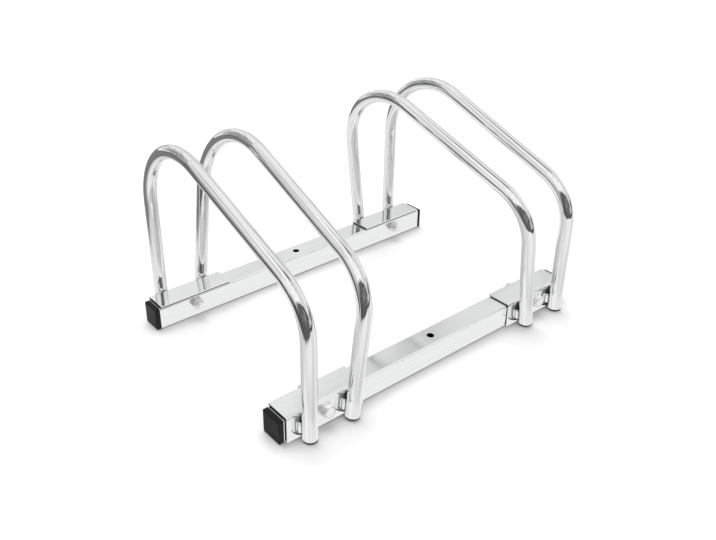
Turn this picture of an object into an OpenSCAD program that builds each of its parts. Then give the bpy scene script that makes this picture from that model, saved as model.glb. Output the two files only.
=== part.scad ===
// Floor bike rack for two wheels: two square rails and four bent tube hoops in two pairs.
// Millimetres, +Z up, X along the rails, front rail at -Y, floor at Z = 0.
// The origin is on the floor, in the middle of the rack.

/* [Rails] */
// Length of each square rail, without its end caps
rail_l = 424; // [400:4:480]
// Outer width and height of the square rail
rail_w = 28; // [25:1:32]
// Wall of the rail
rail_wall = 1.5; // [1.2:0.1:2.5]
// Outer corner radius of the rail
rail_corner_r = 2.5; // [2:0.25:4]
// Distance between the middle lines of the front and the rear rail
rail_spacing = 250; // [230:5:290]
// Diameter of the hole in the middle of each rail for the floor screw
floor_hole_d = 8.5; // [6.5:0.5:10.5]

/* [Hoops] */
// Outer diameter of the hoop tube
tube_d = 16; // [14:0.5:19]
// Wall of the hoop tube
tube_wall = 1.2; // [1:0.1:1.6]
// Height of the hoops above the floor
hoop_h = 240; // [230:1:270]
// Slope of the straight upper run, rising to the rear
slope_angle = 21; // [17:0.5:25]
// Radius of the large rear bend, on the tube's middle line
top_bend_r = 84; // [72:1:90]
// Radius of the front bend, on the tube's middle line
front_bend_r = 60; // [48:1:68]
// Lean of the outer hoops towards the middle of the rack
outer_lean = 0; // [-3:0.25:3]
// Lean of the inner hoops towards the middle of the rack
inner_lean = 6.5; // [3:0.25:8]
// Distance between the two hoops of a pair at the floor, on the middle lines
leg_gap = 54; // [48:1:58]
// Distance from a rail's end to the middle of the pair of hoops beside it
pair_inset = 50; // [49:1:64]

/* [Brackets] */
// Sheet thickness of the angle bracket
plate_t = 2; // [1.5:0.25:3]
// Inside radius of the bracket's bend
plate_bend_r = 1.5; // [1:0.25:2.5]
// Length of the bracket past the outer leg, towards the rail's end
bracket_outer = 21; // [16:1:22]
// Length of the bracket past the inner leg, towards the middle
bracket_inner = 22; // [16:1:26]
// Height of the bracket's lower edge above the floor
bracket_lift = 1; // [0.5:0.25:3]
// Length of each weld bead
weld_l = 12; // [8:1:16]
// Radius of each weld bead
weld_r = 2.4; // [1.8:0.2:3]

/* [End caps] */
// Thickness of the cap's head outside the rail
cap_t = 6; // [4:0.5:9]
// Rounding of the head's outer edges
cap_round = 2; // [1:0.25:2.5]
// Length of the cap's stem inside the rail
cap_stem_l = 16; // [12:1:24]
// Wall of the hollow stem
cap_stem_wall = 2; // [1.5:0.25:3]
// Thickness of each gripping rib round the stem
cap_rib_t = 1.2; // [0.8:0.1:2]
// How far the ribs stand out of the stem
cap_rib_h = 1.8; // [1:0.2:2.6]

/* [Leg plugs] */
// Thickness of the plug's flange under the tube
plug_t = 1.6; // [1.2:0.2:3]
// Length of the plug's stem inside the tube
plug_stem_l = 12; // [9:1:18]
// Thickness of each rib round the stem
plug_rib_t = 1; // [0.8:0.1:1.6]
// How far the ribs stand out of the stem
plug_rib_h = 0.9; // [0.6:0.1:1.4]

/* [Bolts and nuts] */
// Thread diameter of the bracket bolts
bolt_d = 8; // [6:1:8]
// Length of the bolt under its head
bolt_l = 45; // [44:1:52]
// Height of the bolts above the rails' middle lines
bolt_rise = 4.5; // [3:0.5:5]
// Chamfer on the bolt's thread end
bolt_chamfer = 0.8; // [0.5:0.1:1.2]
// Width of the hexagon across its flats
hex_af = 13; // [12:0.5:14]
// Height of the bolt's head
head_h = 5.3; // [4:0.1:6]
// Height of the nut
nut_h = 6.5; // [5:0.1:7]
// Outer diameter of the washer
washer_d = 16; // [15:0.5:17]
// Thickness of the washer
washer_t = 1.6; // [1:0.1:2]

/* [Clearances] */
// Looseness of the bracket on the rail
bracket_gap = 0.8; // [0.5:0.1:1.2]
// Gap between a leg and the bracket's face, bridged by the welds
root_gap = 0.7; // [0.5:0.1:1.2]
// Clearance all round a bolt in the holes it passes
hole_clear = 0.25; // [0.15:0.05:0.5]
// Clearance all round a bolt in its nut
thread_clear = 0.05; // [0.02:0.01:0.08]
// Clearance all round the ribs of a cap or plug
rib_clear = 0.1; // [0.05:0.05:0.2]
// Lowest point of the leg plugs above the floor
foot_gap = 0.5; // [0.3:0.1:1]

/* [Hidden] */
$fn = 64;
CUT = 1;
LEFT = -1;
RIGHT = 1;
FRONT = -1;
REAR = 1;
OUTER = 1;
INNER = -1;

tube_r = tube_d / 2;
rail_y = rail_spacing / 2;
rail_bore = rail_w - 2 * rail_wall;
rail_bore_r = max(rail_corner_r - rail_wall, 0.5);
pair_x = rail_l / 2 - pair_inset;
leg_off = leg_gap / 2;

// Bracket, seen from its end: outwards is away from the rack's middle.
plate_in = rail_w / 2 + bracket_gap;
plate_out = plate_in + plate_t;
plate_top = rail_w + bracket_gap + plate_t;
bracket_l = bracket_outer + leg_gap + bracket_inner;

// Hoop, in its own plane: y to the rear and v up the plane from the leg's foot.
leg_y = rail_y + plate_out + root_gap + tube_r;
crown_v = (hoop_h - tube_r - foot_z(OUTER)) / cos(outer_lean);
top_turn = 90 + slope_angle;
front_turn = 90 - slope_angle;
top_v = crown_v - top_bend_r;
rear_corner_v = top_v + top_bend_r * tan(top_turn / 2);
front_corner_v = rear_corner_v - 2 * leg_y * tan(slope_angle);
front_v = front_corner_v - front_bend_r * tan(front_turn / 2);
slope_l = 2 * leg_y / cos(slope_angle) - top_bend_r * tan(top_turn / 2)
    - front_bend_r * tan(front_turn / 2);

// Weld bead: its middle line lies just off the plate and just off the tube.
weld_sink = 0.6 * weld_r;
weld_y = root_gap + tube_r - weld_sink;
weld_x = sqrt(pow(tube_r + weld_sink, 2) - pow(weld_y, 2));

bolt_z = rail_w / 2 + bolt_rise;
seat_y = rail_y + plate_out;
rib_count = 3;
chamfer_slope = 30;
end_circle = 0.97;

// Lean of an outer or an inner hoop towards the middle of the rack
function lean(place) = place == OUTER ? outer_lean : inner_lean;

// Height of a leg's foot, so that its lowest edge clears the floor
function foot_z(place) = foot_gap + tube_r * sin(abs(lean(place)));

// Square with round corners, centred on the origin
module round_square(w, r) {
    square([w - 2 * r, w], center = true);
    square([w, w - 2 * r], center = true);
    for (sx = [-1, 1])
        for (sy = [-1, 1])
            translate([sx * (w / 2 - r), sy * (w / 2 - r)])
                circle(r);
}

// Rectangle from the origin with its upper left corner round
module corner_block(w, h, r) {
    translate([r, 0])
        square([w - r, h]);
    square([w, h - r]);
    translate([r, h - r])
        circle(r);
}

// Turns a shape drawn in XY so that its x is +Y and its y is +Z
module in_side_view() {
    rotate([90, 0, 90])
        children();
}

// Mirrors what is built at the front left to one of the four corners
module at_corner(side, row) {
    mirror([side == RIGHT ? 1 : 0, 0, 0])
        mirror([0, row == REAR ? 1 : 0, 0])
            children();
}

// Puts what is built along +Z onto a bolt's line at the front left, pointing to the rear
module on_bolt_line(start_y) {
    translate([-pair_x, start_y, bolt_z])
        rotate([-90, 0, 0])
            children();
}

// Leans a hoop's plane about its feet towards the middle of the rack
module in_hoop_plane(side, place) {
    translate([side * (pair_x + place * leg_off), 0, foot_z(place)])
        rotate([0, -side * lean(place), 0])
            children();
}

// Hexagon prism with a low chamfer on its far end, or on both ends
module hex_body(af, h, both_ends = false) {
    wide_r = af / 2 / cos(30) + CUT;
    end_r = end_circle * af / 2;
    chamfer_h = (wide_r - end_r) * tan(chamfer_slope);
    near = both_ends ? [[end_r, 0], [wide_r, chamfer_h]] : [[wide_r, 0]];
    far = [[wide_r, h - chamfer_h], [end_r, h]];
    intersection() {
        cylinder(h = h, d = af / cos(30), $fn = 6);
        rotate_extrude()
            polygon(concat([[0, 0]], near, far, [[0, h]]));
    }
}

// Half outline of the bolt's shank with its chamfered end
module shank_outline() {
    r = bolt_d / 2;
    polygon([[0, 0], [r, 0], [r, bolt_l - bolt_chamfer], [r - bolt_chamfer, bolt_l], [0, bolt_l]]);
}

// Square rail with its floor hole and its two bolt holes
module rail(row) {
    color("gainsboro")
        difference() {
            translate([-rail_l / 2, row * rail_y, rail_w / 2])
                in_side_view()
                    linear_extrude(rail_l)
                        difference() {
                            round_square(rail_w, rail_corner_r);
                            round_square(rail_bore, rail_bore_r);
                        }
            translate([0, row * rail_y, -CUT])
                cylinder(h = rail_w + 2 * CUT, d = floor_hole_d);
            for (side = [LEFT, RIGHT])
                translate([side * pair_x, row * rail_y - rail_w / 2 - CUT, bolt_z])
                    rotate([-90, 0, 0])
                        cylinder(h = rail_w + 2 * CUT, r = bolt_d / 2 + hole_clear);
        }
}

// Side outline of the cap's head: square at the rail, round at its outer edges
module cap_outline() {
    translate([-cap_t, -rail_w / 2])
        union() {
            translate([cap_round, 0])
                square([cap_t - cap_round, rail_w]);
            translate([0, cap_round])
                square([cap_t, rail_w - 2 * cap_round]);
            for (y = [cap_round, rail_w - cap_round])
                translate([cap_round, y])
                    circle(cap_round);
        }
}

// Stem of the cap with its gripping ribs, hollow from its inner end
module cap_stem() {
    rib_w = rail_bore - 2 * rib_clear;
    stem_w = rib_w - 2 * cap_rib_h;
    rib_step = (cap_stem_l - cap_rib_t) / rib_count;
    difference() {
        union() {
            linear_extrude(cap_stem_l)
                round_square(stem_w, rail_bore_r);
            for (i = [1 : rib_count])
                translate([0, 0, i * rib_step - cap_rib_t])
                    linear_extrude(cap_rib_t)
                        round_square(rib_w, rail_bore_r);
        }
        linear_extrude(cap_stem_l + CUT)
            round_square(stem_w - 2 * cap_stem_wall, rail_bore_r);
    }
}

// Black cap that closes a rail's end
module end_cap(side, row) {
    color("#202020")
        at_corner(side, row)
            translate([-rail_l / 2, -rail_y, rail_w / 2]) {
                intersection() {
                    translate([0, rail_w / 2, 0])
                        rotate([90, 0, 0])
                            linear_extrude(rail_w)
                                cap_outline();
                    translate([0, 0, -rail_w / 2])
                        linear_extrude(rail_w)
                            cap_outline();
                    translate([-cap_t, 0, 0])
                        in_side_view()
                            linear_extrude(cap_t)
                                round_square(rail_w, rail_corner_r);
                }
                in_side_view()
                    cap_stem();
            }
}

// Cross-section of the hoop tube
module tube_section() {
    difference() {
        circle(tube_r);
        circle(tube_r - tube_wall);
    }
}

// Straight stretch of tube in the hoop's plane
module straight_tube(y, v, angle, l) {
    translate([0, y, v])
        rotate([angle, 0, 0])
            linear_extrude(l)
                tube_section();
}

// Bent stretch of tube about a centre in the hoop's plane
module bent_tube(y, v, bend_r, start, turn) {
    translate([0, y, v])
        in_side_view()
            rotate([0, 0, start])
                rotate_extrude(angle = turn)
                    translate([bend_r, 0])
                        tube_section();
}

// One hoop, bent from one piece of tube: front leg, front bend, slope, top bend, rear leg
module hoop(side, place) {
    slope_y = -leg_y + front_bend_r - front_bend_r * sin(slope_angle);
    slope_v = front_v + front_bend_r * cos(slope_angle);
    color("whitesmoke")
        in_hoop_plane(side, place) {
            straight_tube(-leg_y, plug_t, 0, front_v - plug_t);
            bent_tube(-leg_y + front_bend_r, front_v, front_bend_r, top_turn, front_turn);
            straight_tube(slope_y, slope_v, slope_angle - 90, slope_l);
            bent_tube(leg_y - top_bend_r, top_v, top_bend_r, 0, top_turn);
            straight_tube(leg_y, plug_t, 0, top_v - plug_t);
        }
}

// Black plug in the foot of one leg
module leg_plug(side, place, row) {
    rib_r = tube_r - tube_wall - rib_clear;
    stem_r = rib_r - plug_rib_h;
    rib_step = (plug_stem_l - plug_rib_t) / rib_count;
    edge_r = plug_t / 2;
    color("#202020")
        in_hoop_plane(side, place)
            translate([0, row * leg_y, 0]) {
                rotate_extrude()
                    union() {
                        translate([0, edge_r])
                            square([tube_r, plug_t - edge_r]);
                        square([tube_r - edge_r, plug_t]);
                        translate([tube_r - edge_r, edge_r])
                            circle(edge_r);
                    }
                cylinder(h = plug_t + plug_stem_l, r = stem_r);
                for (i = [1 : rib_count])
                    translate([0, 0, plug_t + i * rib_step - plug_rib_t])
                        cylinder(h = plug_rib_t, r = rib_r);
            }
}

// Half outline of a weld bead with round ends
module bead_outline() {
    intersection() {
        union() {
            translate([-weld_r, weld_r])
                square([2 * weld_r, weld_l - 2 * weld_r]);
            for (v = [weld_r, weld_l - weld_r])
                translate([0, v])
                    circle(weld_r);
        }
        square([2 * weld_r, weld_l]);
    }
}

// Weld beads on both sides of one front leg of the left pair
module weld_beads(place) {
    weld_v = (rail_w / 2 - foot_z(place)) / cos(lean(place));
    in_hoop_plane(LEFT, place)
        for (sx = [-1, 1])
            translate([sx * weld_x, -leg_y + weld_y, weld_v - weld_l / 2])
                rotate_extrude()
                    bead_outline();
}

// Angle bracket over a rail, with the weld beads that hold a pair of hoops
module bracket(side, row) {
    plate_w = rail_w / 2 + plate_out;
    plate_h = plate_top - bracket_lift;
    inner_x = pair_x - leg_off - bracket_inner;
    color("lightgray")
        at_corner(side, row)
            difference() {
                union() {
                    translate([-inner_x - bracket_l, -seat_y, bracket_lift])
                        in_side_view()
                            linear_extrude(bracket_l)
                                difference() {
                                    corner_block(plate_w, plate_h, plate_bend_r + plate_t);
                                    translate([plate_t, -CUT])
                                        corner_block(plate_w, plate_h - plate_t + CUT, plate_bend_r);
                                }
                    weld_beads(OUTER);
                    weld_beads(INNER);
                }
                for (place = [OUTER, INNER])
                    in_hoop_plane(LEFT, place)
                        translate([0, -leg_y, 0])
                            cylinder(h = plate_top, r = tube_r);
                on_bolt_line(-seat_y - CUT)
                    cylinder(h = plate_t + 2 * CUT, r = bolt_d / 2 + hole_clear);
            }
}

// Hexagon bolt through a bracket and its rail, head outwards
module bolt(side, row) {
    color("silver")
        at_corner(side, row) {
            on_bolt_line(-seat_y - washer_t)
                rotate_extrude()
                    shank_outline();
            on_bolt_line(-seat_y - washer_t)
                mirror([0, 0, 1])
                    hex_body(hex_af, head_h);
        }
}

// Flat washer under a bolt's head
module washer(side, row) {
    color("silver")
        at_corner(side, row)
            on_bolt_line(-seat_y - washer_t)
                difference() {
                    cylinder(h = washer_t, d = washer_d);
                    translate([0, 0, -CUT])
                        cylinder(h = washer_t + 2 * CUT, r = bolt_d / 2 + hole_clear);
                }
}

// Hexagon nut on the rail's inner face
module nut(side, row) {
    color("silver")
        at_corner(side, row)
            on_bolt_line(-rail_y + rail_w / 2)
                difference() {
                    hex_body(hex_af, nut_h, both_ends = true);
                    translate([0, 0, -CUT])
                        cylinder(h = nut_h + 2 * CUT, r = bolt_d / 2 + thread_clear);
                }
}

rail(FRONT);  // front_rail
rail(REAR);  // rear_rail
end_cap(LEFT, FRONT);  // front_left_cap
end_cap(RIGHT, FRONT);  // front_right_cap
end_cap(LEFT, REAR);  // rear_left_cap
end_cap(RIGHT, REAR);  // rear_right_cap
hoop(LEFT, OUTER);  // left_outer_hoop
hoop(LEFT, INNER);  // left_inner_hoop
hoop(RIGHT, INNER);  // right_inner_hoop
hoop(RIGHT, OUTER);  // right_outer_hoop
bracket(LEFT, FRONT);  // front_left_bracket
bracket(RIGHT, FRONT);  // front_right_bracket
bracket(LEFT, REAR);  // rear_left_bracket
bracket(RIGHT, REAR);  // rear_right_bracket
leg_plug(LEFT, OUTER, FRONT);  // left_outer_front_plug
leg_plug(LEFT, OUTER, REAR);  // left_outer_rear_plug
leg_plug(LEFT, INNER, FRONT);  // left_inner_front_plug
leg_plug(LEFT, INNER, REAR);  // left_inner_rear_plug
leg_plug(RIGHT, INNER, FRONT);  // right_inner_front_plug
leg_plug(RIGHT, INNER, REAR);  // right_inner_rear_plug
leg_plug(RIGHT, OUTER, FRONT);  // right_outer_front_plug
leg_plug(RIGHT, OUTER, REAR);  // right_outer_rear_plug
bolt(LEFT, FRONT);  // front_left_bolt
bolt(RIGHT, FRONT);  // front_right_bolt
bolt(LEFT, REAR);  // rear_left_bolt
bolt(RIGHT, REAR);  // rear_right_bolt
washer(LEFT, FRONT);  // front_left_washer
washer(RIGHT, FRONT);  // front_right_washer
washer(LEFT, REAR);  // rear_left_washer
washer(RIGHT, REAR);  // rear_right_washer
nut(LEFT, FRONT);  // front_left_nut
nut(RIGHT, FRONT);  // front_right_nut
nut(LEFT, REAR);  // rear_left_nut
nut(RIGHT, REAR);  // rear_right_nut
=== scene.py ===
# %% [markdown] A floor rack for two bicycles, dressed around its packed CAD model. Two square
# rails lie on the floor, and four bent tube hoops stand on them in two pairs. All of it is bright
# plated steel, so most of the work is in the metal: what it reflects, how it is drawn and where
# it is worn. Everything below is in metres, in the same frame: X runs along the rails, Y from the
# front rail to the rear one, and Z up from the floor.

# %% Load the frame
import math

import bpy
import numpy as np
from mathutils import Matrix, Vector


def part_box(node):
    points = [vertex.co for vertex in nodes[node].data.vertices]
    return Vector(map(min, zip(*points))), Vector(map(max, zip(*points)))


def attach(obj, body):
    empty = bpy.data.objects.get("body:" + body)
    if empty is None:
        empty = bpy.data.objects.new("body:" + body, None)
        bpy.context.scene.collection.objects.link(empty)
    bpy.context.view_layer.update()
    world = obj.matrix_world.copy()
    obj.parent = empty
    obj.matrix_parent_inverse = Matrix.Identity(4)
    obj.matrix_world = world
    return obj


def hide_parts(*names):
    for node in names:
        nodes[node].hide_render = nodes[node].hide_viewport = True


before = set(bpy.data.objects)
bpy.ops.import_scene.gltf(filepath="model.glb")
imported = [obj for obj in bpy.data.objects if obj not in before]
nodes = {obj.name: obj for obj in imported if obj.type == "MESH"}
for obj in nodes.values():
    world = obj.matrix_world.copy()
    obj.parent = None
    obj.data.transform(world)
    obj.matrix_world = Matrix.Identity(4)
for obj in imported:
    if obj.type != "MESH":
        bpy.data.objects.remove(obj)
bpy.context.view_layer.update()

bpy.ops.object.select_all(action="DESELECT")

# %% [markdown]
# The sizes below repeat the part's own, in metres, because a new piece has to stand exactly where
# the CAD node stands. The derived places follow from them in the same way as in the part's source.

# %% Sizes
MM = 0.001
RAIL_L = 424 * MM
RAIL_W = 28 * MM
RAIL_Y = 125 * MM
TUBE_R = 8 * MM
TUBE_WALL = 1.2 * MM
HOOP_H = 240 * MM
SLOPE = math.radians(21)
TOP_BEND_R = 84 * MM
FRONT_BEND_R = 60 * MM
LEAN = {"outer": 0, "inner": math.radians(6.5)}
LEG_GAP = 54 * MM
PAIR_INSET = 50 * MM
BRACKET_GAP = 0.8 * MM
PLATE_T = 2 * MM
ROOT_GAP = 0.7 * MM
PLUG_T = 1.6 * MM
FOOT_GAP = 0.5 * MM

PAIR_X = RAIL_L / 2 - PAIR_INSET
PLATE_IN = RAIL_W / 2 + BRACKET_GAP
PLATE_OUT = PLATE_IN + PLATE_T
LEG_Y = RAIL_Y + PLATE_OUT + ROOT_GAP + TUBE_R
FOOT_Z = {place: FOOT_GAP + TUBE_R * math.sin(lean) for place, lean in LEAN.items()}
CROWN_V = HOOP_H - TUBE_R - FOOT_GAP
TOP_TURN = math.pi / 2 + SLOPE
FRONT_TURN = math.pi / 2 - SLOPE
TOP_V = CROWN_V - TOP_BEND_R
REAR_CORNER_V = TOP_V + TOP_BEND_R * math.tan(TOP_TURN / 2)
FRONT_V = REAR_CORNER_V - 2 * LEG_Y * math.tan(SLOPE) - FRONT_BEND_R * math.tan(FRONT_TURN / 2)
SLOPE_L = (
    2 * LEG_Y / math.cos(SLOPE)
    - TOP_BEND_R * math.tan(TOP_TURN / 2)
    - FRONT_BEND_R * math.tan(FRONT_TURN / 2)
)
print("leg plane at", round(LEG_Y, 5), "front bend from", round(FRONT_V, 5), "slope", round(SLOPE_L, 5))

# %% [markdown]
# The camera stands where the photograph's stood: left of the rack and in front of it, a little
# over half a metre up, looking down at it by about 27 degrees. The small shifts only centre the
# rack in the frame as the photograph has it. Rotations are multiplied as matrices, because a roll
# about the line of sight isn't one of the three angles of a plain Euler rotation.

# %% Camera
IMAGE_W = 716
SENSOR_W = 36
CAMERA_PLACE = (-0.550648, -0.630564, 0.543085)
CAMERA_AZIMUTH = math.radians(-36.2824)
CAMERA_ELEVATION = math.radians(27.3676)
CAMERA_ROLL = math.radians(-1.2542)
FOCAL_PX = 798.257
SHIFT_X_PX = 60
SHIFT_Y_PX = -40
NEAREST = 10 * MM

camera_data = bpy.data.cameras.new("camera")
camera_data.sensor_width = SENSOR_W
camera_data.lens = FOCAL_PX / IMAGE_W * SENSOR_W
camera_data.shift_x = SHIFT_X_PX / IMAGE_W
camera_data.shift_y = SHIFT_Y_PX / IMAGE_W
camera_data.clip_start = NEAREST
camera = bpy.data.objects.new("camera", camera_data)
camera.matrix_world = (
    Matrix.Translation(CAMERA_PLACE)
    @ Matrix.Rotation(CAMERA_AZIMUTH, 4, "Z")
    @ Matrix.Rotation(math.pi / 2 - CAMERA_ELEVATION, 4, "X")
    @ Matrix.Rotation(CAMERA_ROLL, 4, "Z")
)
bpy.context.scene.collection.objects.link(camera)
bpy.context.scene.camera = camera
bpy.context.scene.view_settings.view_transform = "Standard"
print("camera right", [round(v, 5) for v in camera.matrix_world.col[0][:3]])
print("camera up", [round(v, 5) for v in camera.matrix_world.col[1][:3]])

# %% [markdown]
# Shader maths reads best as plain expressions. A small class wraps a node's output, and its
# operators add Math nodes, so that 1 - mask * 0.5 works as written. Every other node comes from
# one method that takes the node's type, its settings and the values or links of its sockets.
# Masks are made by comparing a value with two limits, which gives 0, then 1, and a smooth step
# between them.

# %% Shader maths
class Wire:
    """Output of a node, on which Python's operators add Math nodes"""

    def __init__(self, tree, output):
        self.tree = tree
        self.output = output

    def math(self, operation, *values):
        return self.tree.node("ShaderNodeMath", {"operation": operation}, dict(enumerate(values)))

    def other(self, name):
        """Another output of the same node"""
        return Wire(self.tree, self.output.node.outputs[name])

    def __add__(self, other):
        return self.math("ADD", self, other)

    def __radd__(self, other):
        return self.math("ADD", other, self)

    def __sub__(self, other):
        return self.math("SUBTRACT", self, other)

    def __rsub__(self, other):
        return self.math("SUBTRACT", other, self)

    def __mul__(self, other):
        return self.math("MULTIPLY", self, other)

    def __rmul__(self, other):
        return self.math("MULTIPLY", other, self)

    def least(self, other):
        return self.math("MINIMUM", self, other)

    def most(self, other):
        return self.math("MAXIMUM", self, other)

    def size(self):
        return self.math("ABSOLUTE", self)

    def root(self):
        return self.math("SQRT", self)

    def above(self, low, high):
        """0 below low and 1 above high, with a smooth step between"""
        return self.tree.node(
            "ShaderNodeMapRange",
            {"interpolation_type": "SMOOTHSTEP"},
            {"Value": self, "From Min": low, "From Max": high},
        )

    def below(self, low, high):
        return 1 - self.above(low, high)

    def within(self, rise_from, rise_to, fall_from, fall_to):
        """1 between the two middle values and 0 outside the first and the last"""
        return self.above(rise_from, rise_to) * self.below(fall_from, fall_to)


print("wires carry", [name for name in vars(Wire) if not name.startswith("_")])

# %% Node trees
class Tree:
    """Node tree of a material or of the world"""

    def __init__(self, owner):
        owner.use_nodes = True
        self.nodes = owner.node_tree.nodes
        self.links = owner.node_tree.links
        self.nodes.clear()

    def node(self, kind, settings=None, sockets=None, out=0):
        made = self.nodes.new(kind)
        for name, value in (settings or {}).items():
            setattr(made, name, value)
        for name, value in (sockets or {}).items():
            if isinstance(value, Wire):
                self.links.new(value.output, made.inputs[name])
            else:
                made.inputs[name].default_value = value
        return Wire(self, made.outputs[out] if made.outputs else None)

    def mix(self, factor, low, high):
        """Colour between low and high. Sockets 6 and 7 are a Mix node's two colours"""
        return self.node("ShaderNodeMix", {"data_type": "RGBA"}, {0: factor, 6: low, 7: high}, 2)

    def blend(self, factor, low, high):
        """Shader between low and high"""
        return self.node("ShaderNodeMixShader", None, {0: factor, 1: low, 2: high})

    def vector(self, operation, sockets, out=0):
        return self.node("ShaderNodeVectorMath", {"operation": operation}, sockets, out)

    def place(self):
        """Object coordinates as a vector, and their X, Y and Z"""
        place = self.node("ShaderNodeTexCoord", out="Object")
        x = self.node("ShaderNodeSeparateXYZ", None, {0: place})
        return place, x, x.other("Y"), x.other("Z")


def grey(level):
    return (level, level, level, 1)


print("trees make", [name for name in vars(Tree) if not name.startswith("_")])

# %% [markdown]
# Plated steel shows its surroundings more than its own colour, so the studio matters as much as
# the finish. Real metal is photographed inside a white tent, and what it mirrors is the tent with
# its gaps. Each gap is made as a soft cone about a heading, and a little noise on the direction
# keeps its edge from being a perfect circle. The noise and the cones need no image, so the
# surround stays sharp at any size.

# %% Headings, cones and noise
def heading(azimuth, elevation):
    """Unit vector, with the azimuth counted from +Y towards +X"""
    azimuth, elevation = math.radians(azimuth), math.radians(elevation)
    level = math.cos(elevation)
    return (level * math.sin(azimuth), level * math.cos(azimuth), math.sin(elevation))


def cone(tree, direction, azimuth, elevation, inner, outer):
    """1 inside the inner angle about a heading and 0 outside the outer one"""
    facing = tree.vector("DOT_PRODUCT", {0: direction, 1: heading(azimuth, elevation)}, "Value")
    return facing.above(math.cos(math.radians(outer)), math.cos(math.radians(inner)))


def plain_noise(tree, vector, scale, detail=2.0, out=0):
    sockets = {"Vector": vector, "Scale": scale, "Detail": detail}
    return tree.node("ShaderNodeTexNoise", None, sockets, out)


def noise(tree, vector, scale, detail=2.0):
    """Noise over a vector that is stretched by three factors first"""
    stretched = tree.node("ShaderNodeMapping", None, {"Vector": vector, "Scale": scale})
    return plain_noise(tree, stretched, 1.0, detail)


def shaken(tree, direction, scale, amount):
    """Direction with noise added, so that what is placed on it gets an uneven edge"""
    ripple = plain_noise(tree, direction, scale, out="Color")
    ripple = tree.vector("SUBTRACT", {0: ripple, 1: (0.5, 0.5, 0.5)})
    ripple = tree.vector("SCALE", {0: ripple, "Scale": amount})
    return tree.vector("ADD", {0: direction, 1: ripple})


line_of_sight = heading(-math.degrees(CAMERA_AZIMUTH), -math.degrees(CAMERA_ELEVATION))
print("line of sight", [round(v, 3) for v in line_of_sight])

# %% [markdown]
# The tent is a little brighter high up over the camera, and faint darker seams run over it.
# Seven dim places stand in its walls and roof. Low down behind the camera is the dark room in
# which the tent stands, with some paler streaks in it and a lit gap towards the right of the
# rack. Two smaller dark places stand low down at the right and at the left.

# %% Surround
TENT_LEVEL = 0.93
TENT_MORE = 0.14
SEAM_SHARE = 0.26
# Share of the light that is lost, then the azimuth, elevation, inner and outer angle of a cone
DIM_PLACES = {
    "far left": (0.80, -54, -4, 6, 24),
    "left wall": (0.60, -33, 22, 8, 32),
    "far wall": (0.50, 8, 3, 3, 12),
    "overhead": (0.72, 105, 80, 10.5, 13),
    "roof in front": (0.40, 165, 72, 3, 12),
    "roof at the left": (0.28, -68, 50, 5, 17),
    "right wall": (0.18, 52, 14, 12, 38),
}
# Cones: azimuth, elevation, inner and outer angle
TENT_BRIGHTEST = (-140, 62, 20, 48)
ROOM = (-160, -25, 60, 66)
ROOM_GAP = (149, 4, 8, 17)
DARK_RIGHT = (122, -3, 5, 18)
DARK_LEFT = (-96, -6, 10, 24)
ROOM_LEVEL = 0.05
ROOM_MORE = 0.12
STREAK_LEVEL = 0.45

world = bpy.data.worlds.new("studio")
bpy.context.scene.world = world
tree = Tree(world)
direction = tree.node("ShaderNodeTexCoord", out="Generated")
uneven = shaken(tree, shaken(tree, direction, 2.2, 0.16), 8.0, 0.17)
seams = plain_noise(tree, direction, 11.0, 3.0).above(0.46, 0.64)
surround = TENT_LEVEL + TENT_MORE * cone(tree, uneven, *TENT_BRIGHTEST)
surround = surround * (1 - SEAM_SHARE * seams)
for name, (share, *where) in DIM_PLACES.items():
    edge = direction if name == "overhead" else uneven
    surround = surround * (1 - share * cone(tree, edge, *where))
room = cone(tree, shaken(tree, uneven, 26.0, 0.10), *ROOM) * (1 - cone(tree, uneven, *ROOM_GAP))
room = (room + cone(tree, uneven, *DARK_RIGHT) + cone(tree, uneven, *DARK_LEFT)).least(1)
streaks = noise(tree, uneven, (9, 9, 2)).above(0.55, 0.68)
room_level = ROOM_LEVEL + ROOM_MORE * plain_noise(tree, direction, 5.0) + STREAK_LEVEL * streaks
surround = surround * (1 - room) + room_level * room
print("dim places", len(DIM_PLACES))

# %% [markdown]
# A Light Path node tells what kind of ray asks for the background. The camera, and rays that pass
# through a surface, see plain white. Mirror rays see the surround. All other rays get an even fill
# a little under white, so that the paper and the plastic keep the colours that are written.

# %% World output
WORLD_FILL = 0.88


def background(tree, colour, strength):
    return tree.node("ShaderNodeBackground", None, {"Color": colour, "Strength": strength})


camera_ray = tree.node("ShaderNodeLightPath", out="Is Camera Ray")
mirror_ray = camera_ray.other("Is Glossy Ray") * (1 - camera_ray)
white_ray = (camera_ray + camera_ray.other("Is Transmission Ray")).least(1)
surround_colour = tree.mix(surround, grey(0), grey(1))
plain = tree.blend(white_ray, background(tree, grey(1), WORLD_FILL), background(tree, grey(1), 1))
seen = tree.blend(mirror_ray, plain, background(tree, surround_colour, 1))
tree.node("ShaderNodeOutputWorld", None, {"Surface": seen})
print("world fill", WORLD_FILL)

# %% [markdown]
# The floor is matte white paper, which takes the rack's soft shadows. What the metal mirrors is a second
# paper, for mirror rays only, with painted shade on it: it turns dark at the left of the rack, towards the
# rear left, and further off in front, where the room begins, and a painted shadow makes it a little dimmer
# between the rails. A rail's front face mirrors the strip of paper just before it, so there the mirrored
# paper is painted light: it glows by itself and shows no shadow of the hoops.

# %% Floor
FLOOR_HALF = 6

bpy.ops.mesh.primitive_grid_add(
    x_subdivisions=2, y_subdivisions=2, size=2 * FLOOR_HALF, location=(0, 0, 0)
)
floor = bpy.context.object
floor.name = "floor"
print("floor half width", FLOOR_HALF)

# %% Floor finish
PAPER = 0.8
MIRRORED_PAPER = 0.6
STRIP_GLOW = 0.9
DARK_SHARE = 0.88
REAR_LEFT_SHARE = 0.85
BETWEEN_SHARE = 0.25
RAGGED = 0.10
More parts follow.
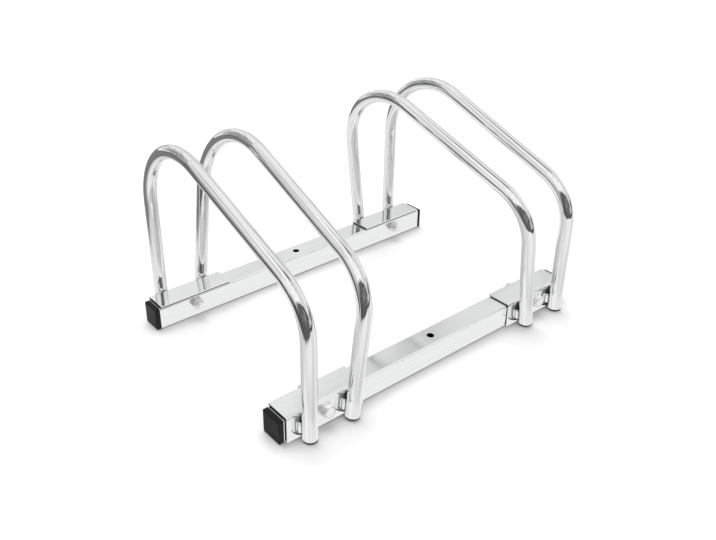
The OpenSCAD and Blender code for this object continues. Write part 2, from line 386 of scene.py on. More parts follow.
# Places on Y where a band rises and falls
BETWEEN_RAILS = (-0.112, -0.108, 0.01, 0.05)
BEFORE_FRONT_RAIL = (-0.20, -0.18, -0.14, -0.13)
BEFORE_REAR_RAIL = (0.04, 0.06, 0.11, 0.12)

floor_finish = bpy.data.materials.new("floor_paper")
tree = Tree(floor_finish)
place, east, north, _ = tree.place()
ragged = (plain_noise(tree, place, 9.0) - 0.5) * RAGGED


def beyond(x, y, near, far):
    """0 nearer than near along the floor direction (x, y) and 1 past far, with a ragged edge"""
    return (east * x + north * y + ragged).above(near, far)


# Painted shade on the paper that mirror rays see: dark far off, and a painted shadow between the rails
dark_left = beyond(-0.94, -0.34, 0.40, 0.54)
dark_front = beyond(0.4, -0.92, 0.95, 1.15)
dark_rear_left = beyond(-0.8, 0.6, 0.35, 0.50) * REAR_LEFT_SHARE
dark = dark_left.most(dark_rear_left.most(dark_front))
mirror_level = (1 - DARK_SHARE * dark) * (1 - BETWEEN_SHARE * north.within(*BETWEEN_RAILS))
# Painted light: the strips just before the rails glow for mirror rays
rail_strip = north.within(*BEFORE_FRONT_RAIL) + north.within(*BEFORE_REAR_RAIL)
matte = tree.node("ShaderNodeBsdfDiffuse", None, {"Color": grey(PAPER)})
mirrored = tree.mix(mirror_level, grey(0), grey(MIRRORED_PAPER))
mirror_matte = tree.node("ShaderNodeBsdfDiffuse", None, {"Color": mirrored})
glow = {"Color": tree.mix(mirror_level, grey(0), grey(1)), "Strength": STRIP_GLOW}
mirror_paper = tree.blend(rail_strip, mirror_matte, tree.node("ShaderNodeEmission", None, glow))
glossy_ray = tree.node("ShaderNodeLightPath", out="Is Glossy Ray")
surface = tree.blend(glossy_ray, matte, mirror_paper)
tree.node("ShaderNodeOutputMaterial", None, {"Surface": surface})
floor.data.materials.append(floor_finish)
print("paper", PAPER, "mirrored paper", MIRRORED_PAPER)

# %% [markdown]
# One sun stands high behind the rack, a little to the right, and shines as widely as a large
# softbox, so its shadows on the paper are faint and soft. Metal doesn't mirror it, because the
# surround already holds everything that the metal should show.

# %% Lamp
LAMP_AZIMUTH = math.radians(25)
LAMP_ELEVATION = math.radians(70)
LAMP_WIDTH = math.radians(40)
LAMP_ENERGY = 2.05
lamp_data = bpy.data.lights.new("softbox", "SUN")
lamp_data.angle = LAMP_WIDTH
lamp_data.energy = LAMP_ENERGY
lamp = bpy.data.objects.new("softbox", lamp_data)
lamp.rotation_euler = (math.pi / 2 - LAMP_ELEVATION, 0, math.pi - LAMP_AZIMUTH)
lamp.visible_glossy = False
bpy.context.scene.collection.objects.link(lamp)
print("lamp energy", LAMP_ENERGY)

# %% [markdown]
# A few small helpers do what a modeller does by hand all day: pick objects, enter and leave edit
# mode, extrude, apply a modifier, and copy a finished pattern to its place. A copy gets its own
# mesh and its place goes into that mesh, so that every object sits at the origin as the CAD
# nodes do.

# %% Modelling helpers
def pick(*pieces):
    """Selects these pieces and nothing else, and makes the first one active"""
    bpy.ops.object.select_all(action="DESELECT")
    for piece in pieces:
        piece.select_set(True)
    if pieces:
        bpy.context.view_layer.objects.active = pieces[0]


def edit_all():
    bpy.ops.object.mode_set(mode="EDIT")
    bpy.ops.mesh.select_all(action="SELECT")


def leave_edit():
    """Turns all faces outwards and leaves edit mode"""
    bpy.ops.mesh.select_all(action="SELECT")
    bpy.ops.mesh.normals_make_consistent(inside=False)
    bpy.ops.object.mode_set(mode="OBJECT")


def extrude_by(move):
    bpy.ops.mesh.extrude_region_move(TRANSFORM_OT_translate={"value": move})


def settle():
    """Puts the object's place, turn and scale into its mesh"""
    bpy.ops.object.transform_apply(location=True, rotation=True, scale=True)


def modify(piece, kind, **settings):
    """Adds a modifier with these settings and applies it"""
    modifier = piece.modifiers.new(kind.lower(), kind)
    for name, value in settings.items():
        setattr(modifier, name, value)
    bpy.context.view_layer.objects.active = piece
    bpy.ops.object.modifier_apply(modifier=modifier.name)


print("modelling helpers ready")

# %% Copies and measures
def copy_to(pattern, name, location, rotation):
    pick(pattern)
    bpy.ops.object.duplicate(linked=False)
    piece = bpy.context.object
    piece.name = name
    piece.data.name = name
    piece.location = location
    piece.rotation_euler = rotation
    settle()
    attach(piece, "root")
    return piece


def box_of(piece):
    points = np.array([v.co for v in piece.data.vertices])
    return points.min(0), points.max(0)


def print_fit(piece, node):
    """How far the piece's box lies from the box of the node that it replaces"""
    low, high = box_of(piece)
    node_low, node_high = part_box(node)
    print(piece.name, (low - np.array(node_low)).round(5), (high - np.array(node_high)).round(5))


SIDES = (("left", -1), ("right", 1))
ROWS = (("front", -1), ("rear", 1))
PLACES = (("outer", 1), ("inner", -1))
print("corners of the rack", len(SIDES) * len(ROWS), "hoops", len(SIDES) * len(PLACES))

# %% [markdown]
# A hoop is one length of round tube bent twice. By hand it is drawn just so: a ring of points at
# the foot of the front leg is extruded up the leg, spun round the front bend, extruded along the
# slope, spun round the large rear bend and extruded down the rear leg. The ring never leaves the
# tube's middle line, so the bends meet the straights without a step. A Solidify modifier then
# gives the skin its wall.

# %% Hoop
RING = 48
FRONT_STEPS = 40
TOP_STEPS = 72
DOUBLE = 1e-7

pick()
bpy.ops.mesh.primitive_circle_add(
    vertices=RING, radius=TUBE_R, fill_type="NOTHING", location=(0, -LEG_Y, PLUG_T)
)
hoop = bpy.context.object
hoop.name = "hoop_pattern"
edit_all()
extrude_by((0, 0, FRONT_V - PLUG_T))
bpy.ops.mesh.spin(
    steps=FRONT_STEPS, angle=FRONT_TURN, center=(0, -LEG_Y + FRONT_BEND_R, FRONT_V), axis=(1, 0, 0)
)
extrude_by((0, SLOPE_L * math.cos(SLOPE), SLOPE_L * math.sin(SLOPE)))
bpy.ops.mesh.spin(
    steps=TOP_STEPS, angle=TOP_TURN, center=(0, LEG_Y - TOP_BEND_R, TOP_V), axis=(1, 0, 0)
)
extrude_by((0, 0, PLUG_T - TOP_V))
bpy.ops.mesh.select_all(action="SELECT")
bpy.ops.mesh.remove_doubles(threshold=DOUBLE)
leave_edit()
settle()
modify(hoop, "SOLIDIFY", thickness=TUBE_WALL, offset=-1)
print("hoop box", *(corner.round(5) for corner in box_of(hoop)), "faces", len(hoop.data.polygons))

# %% [markdown]
# A drawn finish runs along the tube, round every bend. Each point of the hoop therefore gets its
# place on the straightened tube: across in X and Y, and along in Z. It is kept in an attribute
# that the finish reads instead of the object's own coordinates.

# %% Straightened tube
def straighten(mesh):
    points = np.array([v.co for v in mesh.vertices])
    flat = np.zeros_like(points)
    front_c = np.array((-LEG_Y + FRONT_BEND_R, FRONT_V))
    top_c = np.array((LEG_Y - TOP_BEND_R, TOP_V))
    along = np.array((math.cos(SLOPE), math.sin(SLOPE)))
    up = np.array((-math.sin(SLOPE), math.cos(SLOPE)))
    slope_start = front_c + FRONT_BEND_R * up
    before_slope = FRONT_V + FRONT_BEND_R * FRONT_TURN
    before_top = before_slope + SLOPE_L
    for i, (x, y, v) in enumerate(points):
        spot = np.array((y, v))
        from_front = spot - front_c
        from_top = spot - top_c
        run = (spot - slope_start) @ along
        if y < 0 and v <= FRONT_V:
            side, length = -LEG_Y - y, v
        elif y < 0 and run <= 0:
            turn = math.atan2(from_front[1], -from_front[0])
            side, length = np.hypot(*from_front) - FRONT_BEND_R, FRONT_V + FRONT_BEND_R * turn
        elif run <= SLOPE_L:
            side, length = (spot - slope_start) @ up, before_slope + run
        elif v > TOP_V:
            turn = TOP_TURN - math.atan2(from_top[1], from_top[0])
            side, length = np.hypot(*from_top) - TOP_BEND_R, before_top + TOP_BEND_R * turn
        else:
            side, length = y - LEG_Y, before_top + TOP_BEND_R * TOP_TURN + TOP_V - v
        flat[i] = (x, side, length)
    return flat


flat = straighten(hoop.data)
store = hoop.data.attributes.new("straight", "FLOAT_VECTOR", "POINT")
store.data.foreach_set("vector", flat.astype(np.float32).ravel())
radii = np.hypot(flat[:, 0], flat[:, 1])
print("tube length", round(float(flat[:, 2].max()), 4), "radii", radii.min().round(5), radii.max().round(5))

# %% [markdown]
# The outer hoop of a pair stands upright, and the inner one leans to the middle of the rack about
# its feet. All four are copies of the one pattern, turned about Y by their lean.

# %% Four hoops
HOOP_SHARP = math.radians(40)

bpy.ops.object.shade_smooth_by_angle(angle=HOOP_SHARP)
hoops = []
for side_name, side in SIDES:
    for place_name, place in PLACES:
        hoop_name = f"{side_name}_{place_name}"
        foot = (side * (PAIR_X + place * LEG_GAP / 2), 0, FOOT_Z[place_name])
        piece = copy_to(hoop, hoop_name + "_tube", foot, (0, -side * LEAN[place_name], 0))
        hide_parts(hoop_name + "_hoop")
        hoops.append(piece)
        print_fit(piece, hoop_name + "_hoop")
bpy.data.objects.remove(hoop)

# %% [markdown]
# Bolts and nuts start as turned solids and hexagon bars, like the real ones. A turned solid is a
# disc that is extruded and scaled from ring to ring. The hexagon's corners are chamfered by
# crossing the bar with a low cone: the Boolean keeps only what lies in both.

# %% Turned solids and hexagons
HEX_AF = 13 * MM
HEX_CORNER_R = HEX_AF / 2 / math.cos(math.pi / 6)
END_CIRCLE = 0.97
HEX_FLAT_R = END_CIRCLE * HEX_AF / 2
CHAMFER_SLOPE = math.tan(math.radians(30))
# How far a cutting solid passes the piece that it cuts
PAST = 1 * MM
WIDE_R = HEX_CORNER_R + PAST
CHAMFER_H = (WIDE_R - HEX_FLAT_R) * CHAMFER_SLOPE
FASTENER_SHARP = math.radians(25)
TURNED_SIDES = 64


def cross(piece, cutter, operation):
    """Boolean of two meshes. The cutter goes"""
    modify(piece, "BOOLEAN", operation=operation, solver="EXACT", object=cutter)
    bpy.data.objects.remove(cutter)
    return piece


def turned(rings):
    """Closed turned solid through rings of (radius, height)"""
    (radius, height), *later = rings
    pick()
    bpy.ops.mesh.primitive_circle_add(
        vertices=TURNED_SIDES, radius=radius, fill_type="NGON", location=(0, 0, height)
    )
    edit_all()
    for next_radius, next_height in later:
        extrude_by((0, 0, next_height - height))
        share = next_radius / radius
        bpy.ops.transform.resize(value=(share, share, 1))
        radius, height = next_radius, next_height
    leave_edit()
    settle()
    return bpy.context.object


def hexagon(low, high):
    pick()
    bpy.ops.mesh.primitive_cylinder_add(
        vertices=6,
        radius=HEX_CORNER_R,
        depth=high - low,
        location=(0, 0, (low + high) / 2),
        rotation=(0, 0, math.pi / 6),
    )
    settle()
    return bpy.context.object


print("chamfer", round(CHAMFER_H, 5), "corner radius", round(HEX_CORNER_R, 5))

# %% [markdown]
# The CAD bolts have plain shanks. Real ones show a rolled thread past the nut. A thread is a V
# that is wound up the axis: a diamond ring with its inner corner deleted is that V, and a Screw
# modifier winds it. It is wound a little too long and cut off square at both ends.

# %% Thread
BOLT_R = 4 * MM
BOLT_L = 45 * MM
THREAD_L = 22 * MM
PITCH = 1.25 * MM
THREAD_DEPTH = 0.61 * PITCH
ROOT_R = BOLT_R - THREAD_DEPTH
CREST_CUT = 0.1 * MM
SPARE_TURNS = 2
TURNS = math.ceil(THREAD_L / PITCH) + SPARE_TURNS
THREAD_STEPS = 40
THREAD_DOUBLE = 1e-6
TIP_GAP = 0.01 * MM

pick()
bpy.ops.mesh.primitive_circle_add(
    vertices=4,
    radius=PITCH / 2,
    location=(ROOT_R, 0, BOLT_L - THREAD_L - PITCH),
    rotation=(math.pi / 2, 0, 0),
)
thread = bpy.context.object
settle()
inner_corner = min(thread.data.vertices, key=lambda v: v.co.x).index
bpy.ops.object.mode_set(mode="EDIT")
bpy.ops.mesh.select_all(action="DESELECT")
bpy.ops.object.mode_set(mode="OBJECT")
thread.data.vertices[inner_corner].select = True
bpy.ops.object.mode_set(mode="EDIT")
bpy.ops.mesh.delete(type="VERT")
bpy.ops.mesh.select_all(action="SELECT")
depth_share = (BOLT_R + CREST_CUT - ROOT_R) / (PITCH / 2)
bpy.ops.transform.resize(value=(depth_share, 1, 1), center_override=(ROOT_R, 0, 0))
bpy.ops.object.mode_set(mode="OBJECT")
print("thread profile corners", len(thread.data.vertices))

# %% Wound thread
modify(
    thread,
    "SCREW",
    axis="Z",
    angle=2 * math.pi,
    screw_offset=PITCH,
    iterations=TURNS,
    steps=THREAD_STEPS,
    render_steps=THREAD_STEPS,
)
edit_all()
bpy.ops.mesh.remove_doubles(threshold=THREAD_DOUBLE)
for cut_z, clear_lower in ((BOLT_L - THREAD_L, True), (BOLT_L - TIP_GAP, False)):
    bpy.ops.mesh.select_all(action="SELECT")
    bpy.ops.mesh.bisect(
        plane_co=(0, 0, cut_z),
        plane_no=(0, 0, 1),
        use_fill=True,
        clear_inner=clear_lower,
        clear_outer=not clear_lower,
    )
leave_edit()
print("thread turns", TURNS, "faces", len(thread.data.polygons))

# %% [markdown]
# Crossing the wound thread with a rod that has a chamfered end gives the crests their narrow flats
# and the thread its lead-in. The shank reaches into the head and into the thread's core, and the
# three solids are joined as one piece.

# %% Bolt
HEAD_H = 5.3 * MM
BOLT_CHAMFER = 0.8 * MM

rod = turned([(BOLT_R, 0), (BOLT_R, BOLT_L - BOLT_CHAMFER), (BOLT_R - BOLT_CHAMFER, BOLT_L)])
thread = cross(thread, rod, "INTERSECT")
head_cone = [(HEX_FLAT_R, -HEAD_H), (WIDE_R, CHAMFER_H - HEAD_H), (WIDE_R, PAST)]
head = cross(hexagon(-HEAD_H, 0), turned(head_cone), "INTERSECT")
shank = turned([(BOLT_R, -PAST), (BOLT_R, BOLT_L - THREAD_L + PITCH / 4)])
pick(head, shank, thread)
bpy.ops.object.join()
bolt = bpy.context.object
bpy.ops.object.shade_smooth_by_angle(angle=FASTENER_SHARP)
print("bolt", *(corner.round(5) for corner in box_of(bolt)), "faces", len(bolt.data.polygons))

# %% [markdown]
# The nut is a hexagon with both ends turned off, and a bore whose mouths are countersunk so that
# the bolt enters easily. Its own thread is covered by the bolt's, so the bore stays plain.

# %% Nut
NUT_H = 6.5 * MM
THREAD_CLEAR = 0.05 * MM
BORE_R = BOLT_R + THREAD_CLEAR
SINK = 0.45 * MM
MOUTH_R = BORE_R + 2 * SINK

nut_cones = [(HEX_FLAT_R, 0), (WIDE_R, CHAMFER_H), (WIDE_R, NUT_H - CHAMFER_H), (HEX_FLAT_R, NUT_H)]
nut = cross(hexagon(0, NUT_H), turned(nut_cones), "INTERSECT")
bore = [(MOUTH_R, -SINK), (BORE_R, SINK), (BORE_R, NUT_H - SINK), (MOUTH_R, NUT_H + SINK)]
nut = cross(nut, turned(bore), "DIFFERENCE")
pick(nut)
bpy.ops.object.shade_smooth_by_angle(angle=FASTENER_SHARP)
print("nut faces", len(nut.data.polygons))

# %% [markdown]
# Each fastener is modelled once, pointing up, and copied to the four corners, where it is turned
# to point inwards along Y. The head sits on the washer and the nut on the rail's inner face.

# %% Bolts and nuts in place
WASHER_T = 1.6 * MM
BOLT_RISE = 4.5 * MM
BOLT_Z = RAIL_W / 2 + BOLT_RISE
HEAD_SEAT_Y = RAIL_Y + PLATE_OUT + WASHER_T
NUT_SEAT_Y = RAIL_Y - RAIL_W / 2

fasteners = []
for row_name, row in ROWS:
    for side_name, side in SIDES:
        for kind, pattern, seat in (("bolt", bolt, HEAD_SEAT_Y), ("nut", nut, NUT_SEAT_Y)):
            node = f"{row_name}_{side_name}_{kind}"
            place = (side * PAIR_X, row * seat, BOLT_Z)
            piece = copy_to(pattern, node + "_turned", place, (row * math.pi / 2, 0, 0))
            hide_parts(node)
            fasteners.append(piece)
            print_fit(piece, node)
bpy.data.objects.remove(bolt)
bpy.data.objects.remove(nut)

# %% [markdown]
# A leg is held by two weld beads. A hand weld is laid as a row of drops, each lapped over the one
# before, so the bead is made of such drops: one flattened ball, copied up the seam, and a voxel
# remesh melts the row into one skin.

# %% Weld bead
WELD_L = 12 * MM
WELD_R = 2.4 * MM
DROPS = 9
DROP_R = 1.12 * WELD_R
DROP_FLAT = 0.62
DROP_TILT = math.radians(16)
VOXEL = 0.25 * MM

pick()
bpy.ops.mesh.primitive_uv_sphere_add(
    segments=32, ring_count=18, radius=DROP_R, location=(0, 0, 0), scale=(1, 1, DROP_FLAT)
)
bead = bpy.context.object
bead.rotation_euler = (DROP_TILT, 0, 0)
settle()
rise = (WELD_L - 2 * DROP_R * DROP_FLAT) / (DROPS - 1)
modify(
    bead,
    "ARRAY",
    count=DROPS,
    use_relative_offset=False,
    use_constant_offset=True,
    constant_offset_displace=(0, 0, rise),
)
modify(bead, "REMESH", mode="VOXEL", voxel_size=VOXEL)
modify(bead, "SMOOTH", factor=0.5, iterations=2)
bpy.ops.object.shade_smooth()
edit_all()
bpy.ops.transform.translate(value=(0, 0, -rise * (DROPS - 1) / 2))
bpy.ops.object.mode_set(mode="OBJECT")
print("bead", *(corner.round(5) for corner in box_of(bead)), "faces", len(bead.data.polygons))

# %% [markdown]
# The beads lie over the smooth ones of the CAD brackets, in the same places: one on each side of
# a leg, between the tube and the plate, and leaning with the leg.

# %% Weld beads in place
WELD_SINK = 0.6 * WELD_R
WELD_Y = ROOT_GAP + TUBE_R - WELD_SINK
WELD_X = math.sqrt((TUBE_R + WELD_SINK) ** 2 - WELD_Y ** 2)

beads = []
for row_name, row in ROWS:
    for side_name, side in SIDES:
        for place_name, place in PLACES:
            lean = -side * LEAN[place_name]
            weld_v = (RAIL_W / 2 - FOOT_Z[place_name]) / math.cos(lean)
            foot = Vector((side * (PAIR_X + place * LEG_GAP / 2), 0, FOOT_Z[place_name]))
            turn = 0 if row < 0 else math.pi
            for end_name, end in SIDES:
                spot = Vector((end * WELD_X, row * (LEG_Y - WELD_Y), weld_v))
                spot = foot + Matrix.Rotation(lean, 3, "Y") @ spot
                name = f"{row_name}_{side_name}_{place_name}_weld_{end_name}"
                piece = copy_to(bead, name, spot, (0, lean, turn))
                beads.append(piece)
bpy.data.objects.remove(bead)
print("beads", len(beads))

# %% [markdown]
# All finishes share a few helpers. Fine relief goes through Bump nodes. Where pieces nearly meet, shade is
# painted into the finish: an Ambient Occlusion node finds those places, and there the plating turns dull
# and nearly black as painted shade.

# %% Finish helpers
PAINTED_SHADE_COLOUR = grey(0.02)
PAINTED_SHADE_ROUGH = 0.5
# Open share below which a gap gets full painted shade, and above which it gets none
PAINTED_SHADE_OPEN = (0.28, 0.60)
REACH = 3 * MM
SMALL_REACH = 1.2 * MM


def new_finish(name):
    finish = bpy.data.materials.new(name)
    return finish, Tree(finish)


def bump(tree, height, distance, normal=None):
    sockets = {"Height": height, "Distance": distance, "Strength": 1.0}
    if normal:
        sockets["Normal"] = normal
    return tree.node("ShaderNodeBump", None, sockets)


def with_crevice_shade(tree, colour, rough, reach=REACH):
    """Colour, metal share and roughness with painted shade, dull and nearly black, where surfaces nearly
    meet
    """
    open_share = tree.node("ShaderNodeAmbientOcclusion", {"samples": 8}, {"Distance": reach}, "AO")
    # Painted shade where the Ambient Occlusion finds a near gap
    crevice_shade = open_share.below(*PAINTED_SHADE_OPEN)
    return tree.mix(crevice_shade, colour, PAINTED_SHADE_COLOUR), 1 - crevice_shade, rough + crevice_shade * PAINTED_SHADE_ROUGH


def finish_output(tree, sockets):
    """Ends a finish with a Principled shader that has these sockets"""
    shader = tree.node("ShaderNodeBsdfPrincipled", None, sockets)
    tree.node("ShaderNodeOutputMaterial", None, {"Surface": shader})


def metal_output(tree, colour, metal, rough, normal):
    sockets = {"Base Color": colour, "Metallic": metal, "Roughness": rough, "Normal": normal}
    finish_output(tree, sockets)


def dress(pieces, finish):
    for piece in pieces:
        piece.data.materials.clear()
        piece.data.materials.append(finish)
    print(finish.name, "on", len(pieces), "pieces")


print("grime reaches", REACH, "and on small pieces", SMALL_REACH)

# %% [markdown]
# Bright plated tube isn't a perfect mirror. It was drawn through a die before plating, so faint
# lines run along it, and its skin is slightly wavy, which breaks the edges of every reflection.
# The lines vary the colour and the roughness, and the waves go through a Bump node. All of it reads the
# straightened coordinates, so it follows the bends. The foot of a leg is dark on the side that is turned to
# its bracket: the welding heat has stained it, and the shade of the gap there is painted in too. Its lowest
# edge has painted shade, nearly as dark as the plug below it.

# %% Hoop finish
BRIGHT_TUBE = (0.96, 0.962, 0.965, 1)
DRAWN_LINE = (0.72, 0.722, 0.727, 1)
TUBE_ROUGH = 0.04
LINE_ROUGH = 0.03
DULL_ROUGH = 0.04
HEAT_STAIN_AND_GAP_SHADE = grey(0.16)
STAIN_AND_SHADE_SHARE = 0.85
STAIN_AND_SHADE_OUT = (LEG_Y - 4 * MM, LEG_Y - 1 * MM)
STAIN_AND_SHADE_TOP = (25 * MM, 29 * MM)
FOOT_SHADE_BAND = (FOOT_GAP + PLUG_T + 0.3 * MM, FOOT_GAP + PLUG_T + 1.1 * MM)

hoop_finish, tree = new_finish("bright_tube_plating")
straight = tree.node("ShaderNodeAttribute", {"attribute_name": "straight"}, None, "Vector")
lines = noise(tree, straight, (800, 800, 7), 3.0)
waves = noise(tree, straight, (110, 110, 60))
dull = noise(tree, straight, (60, 60, 30), 4.0).above(0.5, 0.8)
colour = tree.mix(lines.above(0.42, 0.66), BRIGHT_TUBE, DRAWN_LINE)
rough = TUBE_ROUGH + lines * LINE_ROUGH + dull * DULL_ROUGH
colour, metal, rough = with_crevice_shade(tree, colour, rough)
_, _, north, height = tree.place()
# Weld heat stain together with painted shade of the gap between leg and bracket
stained_and_shaded = north.size().below(*STAIN_AND_SHADE_OUT) * height.below(*STAIN_AND_SHADE_TOP)
colour = tree.mix(stained_and_shaded * STAIN_AND_SHADE_SHARE, colour, HEAT_STAIN_AND_GAP_SHADE)
# Painted shade at the leg's lowest edge, next to the plug
foot_shade = height.below(*FOOT_SHADE_BAND)
colour = tree.mix(foot_shade, colour, PAINTED_SHADE_COLOUR)
metal_output(tree, colour, metal * (1 - foot_shade), rough, bump(tree, waves, 0.12 * MM))
dress(hoops, hoop_finish)

# %% [markdown]
# The rails are drawn square tube with the same plating, and the brackets are bent from plated sheet. Their
# grain runs along X, it is finer than on the hoops, and there are a few dull patches from handling. Both
# finishes come from one function, which takes the grain, the roughness and a function that says where shade
# is painted in, nearly black.

# %% Plating
# Colour of the painted shade in gaps and under the brackets
PAINTED_GAP_SHADE = grey(0.01)
PALE_PLATE = (0.945, 0.95, 0.955, 1)
PLATE_GRAIN = (0.905, 0.91, 0.915, 1)
PATCH_ROUGH = 0.03


def plating(tree, grain_scale, rough_low, rough_more, painted_shade):
    """Plated steel, with painted shade, nearly black, where painted_shade(across, out, up) is 1"""
    place, east, north, up = tree.place()
    gap_shade = painted_shade(east.size(), north.size(), up)
    grain = noise(tree, place, grain_scale, 3.0)
    patches = noise(tree, place, (22, 60, 60), 4.0).above(0.5, 0.75)
    waves = noise(tree, place, (25, 60, 60))
    colour = tree.mix(grain.above(0.35, 0.7), PALE_PLATE, PLATE_GRAIN)
    rough = rough_low + grain * rough_more + patches * PATCH_ROUGH
    colour, metal, rough = with_crevice_shade(tree, colour, rough)
    # Painted shade: nearly black where the mask is 1
    colour = tree.mix(gap_shade, colour, PAINTED_GAP_SHADE)
    skin = bump(tree, grain, 0.0015 * MM, bump(tree, waves, 0.03 * MM))
    metal_output(tree, colour, metal * (1 - gap_shade), rough + gap_shade * PAINTED_SHADE_ROUGH, skin)


print("plating levels", PALE_PLATE[:3], PLATE_GRAIN[:3])

# %% [markdown]
# Some faces get painted shade, nearly black: the rail's under a bracket with a painted narrow shadow past
# the bracket's ends, the bracket's own faces that are turned to the rail, and the sheared edges of its top.
# They are found by their place, so each mask is a few limits on X, Y and Z.

# %% Painted shade places
BRACKET_OUTER = 21 * MM
BRACKET_INNER = 22 * MM
BRACKET_FROM = PAIR_X - LEG_GAP / 2 - BRACKET_INNER
BRACKET_TO = PAIR_X + LEG_GAP / 2 + BRACKET_OUTER
SLIVER = 0.05 * MM
SHADE = 0.3 * MM
SHADE_WIDENS = 0.05
FAR_SHADE = 1 * MM
SHEARED_TOP = (RAIL_W + 1.1 * MM, RAIL_W + 1.6 * MM)
SHEARED_FAR_TOP = (RAIL_W + 2.2 * MM, RAIL_W + 2.5 * MM)


def under_bracket(across, out, up):
    """Painted shade on the rail's top and outer face where a bracket covers them, and a painted shadow past
    its ends
    """
    face_y = RAIL_Y + RAIL_W / 2
    top = up.above(RAIL_W - 2 * SLIVER, RAIL_W - SLIVER)
    face = out.above(face_y - 2 * SLIVER, face_y - SLIVER)
    reach = SHADE + (RAIL_W - up) * SHADE_WIDENS
    covered = (across + reach).above(BRACKET_FROM, BRACKET_FROM + SHADE)
    covered = covered * across.below(BRACKET_TO + FAR_SHADE, BRACKET_TO + FAR_SHADE + SHADE)
    return covered * top.most(face)


def inside_bracket(across, out, up):
    """Painted shade on the bracket's faces that are turned to the rail, and on the sheared ends and edge of
    its top
    """
    face_y = RAIL_Y + PLATE_IN
    roof = RAIL_W + BRACKET_GAP
    inner = out.below(face_y, face_y + SLIVER) * up.below(roof, roof + SLIVER)
    edge_y = RAIL_Y - RAIL_W / 2
    edge = out.below(edge_y + SLIVER, edge_y + 2 * SLIVER)
    near_end = across.below(BRACKET_FROM + SLIVER, BRACKET_FROM + 2 * SLIVER)
    far_end = across.above(BRACKET_TO - 2 * SLIVER, BRACKET_TO - SLIVER)
    sheared = edge.most(near_end) * up.below(*SHEARED_TOP)
    sheared = sheared.most(far_end * up.below(*SHEARED_FAR_TOP))
    return inner.most(sheared * up.above(RAIL_W, RAIL_W + SLIVER))


print("bracket from", round(BRACKET_FROM, 4), "to", round(BRACKET_TO, 4))

# %% Rail and bracket finish
rail_finish, tree = new_finish("rail_plating")
plating(tree, (14, 1500, 1500), rough_low=0.06, rough_more=0.06, painted_shade=under_bracket)
bracket_finish, tree = new_finish("bracket_plating")
plating(tree, (18, 900, 900), rough_low=0.04, rough_more=0.05, painted_shade=inside_bracket)
print("finishes", rail_finish.name, bracket_finish.name)

# %% [markdown]
# Weld metal is plated with the rest, but its skin is coarse and a little spattered, so it is
# rougher than the sheet and mottled by an even noise instead of a drawn grain.

# %% Weld finish
PALE_WELD = (0.95, 0.95, 0.955, 1)
DULL_WELD = (0.86, 0.86, 0.865, 1)
WELD_ROUGH = 0.10
SPATTER_ROUGH = 0.12

bead_finish, tree = new_finish("weld_plating")
place, *_ = tree.place()
spatter = noise(tree, place, (700, 700, 700), 3.0)
colour = tree.mix(spatter.above(0.4, 0.7), PALE_WELD, DULL_WELD)
colour, metal, rough = with_crevice_shade(tree, colour, WELD_ROUGH + spatter * SPATTER_ROUGH, SMALL_REACH)
metal_output(tree, colour, metal, rough, bump(tree, spatter, 0.03 * MM))
dress(beads, bead_finish)

# %% [markdown]
# Bolts, washers and nuts are plated too, but turned and rolled, so their fine marks run all ways.
# The plating on the rolled bolts is whiter and duller: a share of it isn't mirror metal. A broken dark ring
# is painted round the chamfer at its radius: a painted dark reflection of the chamfer's edge.

# %% Fastener finish
PALE_FASTENER = grey(0.95)
DULL_FASTENER = grey(0.85)
FASTENER_ROUGH = 0.22
MARK_ROUGH = 0.16
PAINTED_CHAMFER_DARK = grey(0.03)
PAINTED_CHAMFER_RING = (HEX_FLAT_R - 0.45 * MM, HEX_FLAT_R - 0.35 * MM, HEX_FLAT_R, HEX_FLAT_R + 0.1 * MM)


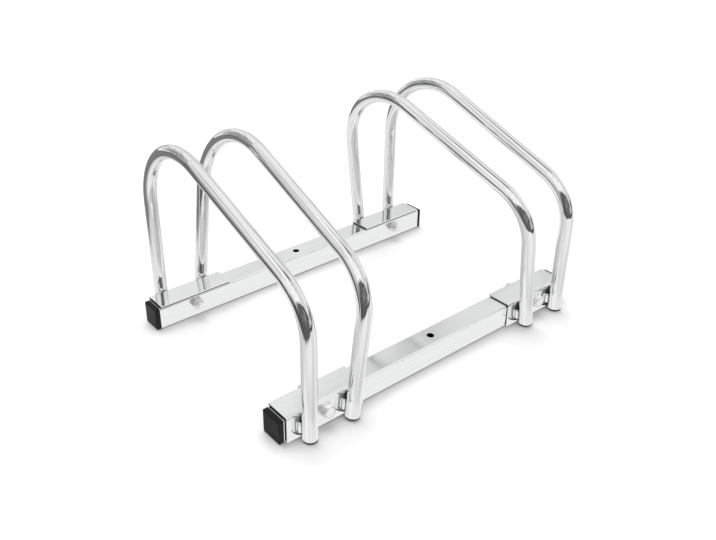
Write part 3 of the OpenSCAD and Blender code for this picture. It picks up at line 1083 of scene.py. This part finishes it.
def fastener_plating(name, mirror_share, chamfer_dark_share):
    finish, tree = new_finish(name)
    place, east, _, up = tree.place()
    marks = noise(tree, place, (500, 500, 500), 4.0)
    colour = tree.mix(marks.above(0.4, 0.7), PALE_FASTENER, DULL_FASTENER)
    rough = FASTENER_ROUGH + marks * MARK_ROUGH
    colour, metal, rough = with_crevice_shade(tree, colour, rough, SMALL_REACH)
    aside = east.size() - PAIR_X
    above = up - BOLT_Z
    ring = (aside * aside + above * above).root().within(*PAINTED_CHAMFER_RING)
    # Painted dark reflection: a broken dark ring at the chamfer's radius
    colour = tree.mix(ring * marks.above(0.40, 0.50) * chamfer_dark_share, colour, PAINTED_CHAMFER_DARK)
    metal_output(tree, colour, metal * mirror_share, rough, bump(tree, marks, 0.01 * MM))
    return finish


bolt_finish = fastener_plating("bolt_plating", mirror_share=0.5, chamfer_dark_share=1)
nut_finish = fastener_plating("nut_plating", mirror_share=0.65, chamfer_dark_share=0.6)
dress([piece for piece in fasteners if "bolt" in piece.name], bolt_finish)
dress([piece for piece in fasteners if "nut" in piece.name], nut_finish)

# %% [markdown]
# Caps and plugs are moulded black plastic: a fine spark-eroded grain, a low sheen and a few paler
# rub marks. The grain goes through a Bump node and the marks into the roughness and the colour.

# %% Black plastic finish
BLACK = grey(0.007)
RUBBED = grey(0.018)
LOW_SHEEN = 0.22
MOULD_ROUGH = 0.42
GRAIN_ROUGH = 0.15
RUB_SHINE = 0.1

black_finish, tree = new_finish("black_moulding")
place, *_ = tree.place()
grain = noise(tree, place, (1400, 1400, 1400))
rubs = noise(tree, place, (120, 120, 120), 5.0).above(0.55, 0.8)
finish_output(
    tree,
    {
        "Base Color": tree.mix(rubs, BLACK, RUBBED),
        "Roughness": MOULD_ROUGH + grain * GRAIN_ROUGH - rubs * RUB_SHINE,
        "Specular IOR Level": LOW_SHEEN,
        "Normal": bump(tree, grain, 0.02 * MM),
    },
)
print("black plastic made")

# %% [markdown]
# The CAD nodes keep their meshes. Only their material slots get the finishes, by the last word of
# each node's name. The hoops' nodes need none, because the spun tubes stand for them.

# %% Finishes on the CAD nodes
FINISH_OF = {
    "rail": rail_finish,
    "bracket": bracket_finish,
    "bolt": bolt_finish,
    "washer": bolt_finish,
    "nut": nut_finish,
    "cap": black_finish,
    "plug": black_finish,
}
finished = [name for name in nodes if name.split("_")[-1] in FINISH_OF]
for name in finished:
    for slot in nodes[name].material_slots:
        slot.material = FINISH_OF[name.split("_")[-1]]
print("finishes on", len(finished), "nodes")

# %% [markdown] The dressed rack has to stay inside the box of the CAD model.
